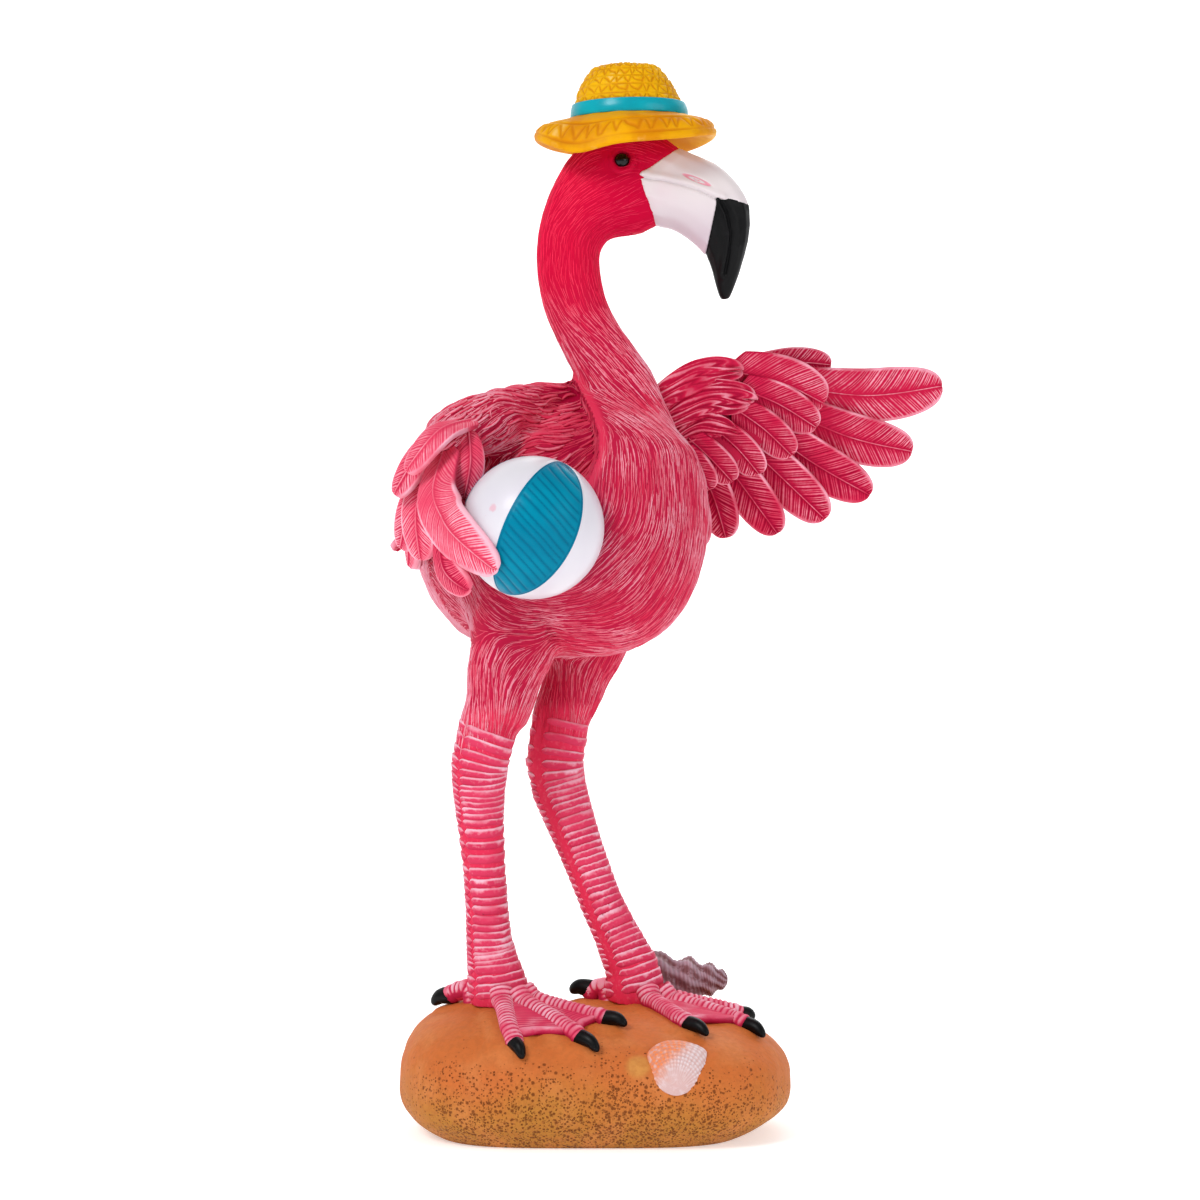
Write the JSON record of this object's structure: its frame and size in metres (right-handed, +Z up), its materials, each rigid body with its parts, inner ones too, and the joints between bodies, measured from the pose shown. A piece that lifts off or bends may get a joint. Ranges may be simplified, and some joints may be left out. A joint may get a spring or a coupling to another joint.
{
  "type": "flamingo garden figurine",
  "caption": "Painted cast-resin flamingo in a straw hat, one wing bent over a beach ball and the other stretched out, standing on a sand-coloured mound with shells.",
  "frame": {"origin": "centre of the flat underside of the mound, on the surface the figurine stands on", "axes": "+Z up along the height of the figurine; the display side faces -Y; the bill points along +X"},
  "size_m": [0.1728, 0.1239, 0.3194],
  "materials": {
    "pink": "satin paint over cast resin, light pink brushed over the raised strokes",
    "crimson": "satin crimson paint over cast resin",
    "straw": "satin yellow paint, darker in the grooves of the weave",
    "turquoise": "glossy enamel",
    "white": "semi-gloss white paint",
    "ball_paint": "glossy white with a ribbed turquoise gore",
    "black": "semi-gloss black paint",
    "sand": "matt orange-brown paint over a pitted casting",
    "shell": "satin, orange fading to white",
    "grape": "matt purple-brown"
  },
  "bodies": {
    "root": {"ball": "ball_paint", "base": "sand", "bill": "white", "bill_tip": "black", "claw_left_1": "black", "claw_left_2": "black", "claw_left_3": "black", "claw_left_4": "black", "claw_right_1": "black", "claw_right_2": "black", "claw_right_3": "black", "claw_right_4": "black", "eye_left": "black", "eye_right": "black", "foot_left": "pink", "foot_right": "pink", "hat": "straw", "hat_band": "turquoise", "head": "crimson", "neck": "pink", "shank_left": "pink", "shank_right": "pink", "shell_scallop": "shell", "shell_whelk": "grape", "tail": "pink", "thigh_left": "pink", "thigh_right": "pink", "trunk": "pink", "wing_left": "pink", "wing_right": "pink"}
  },
  "joints": []
}
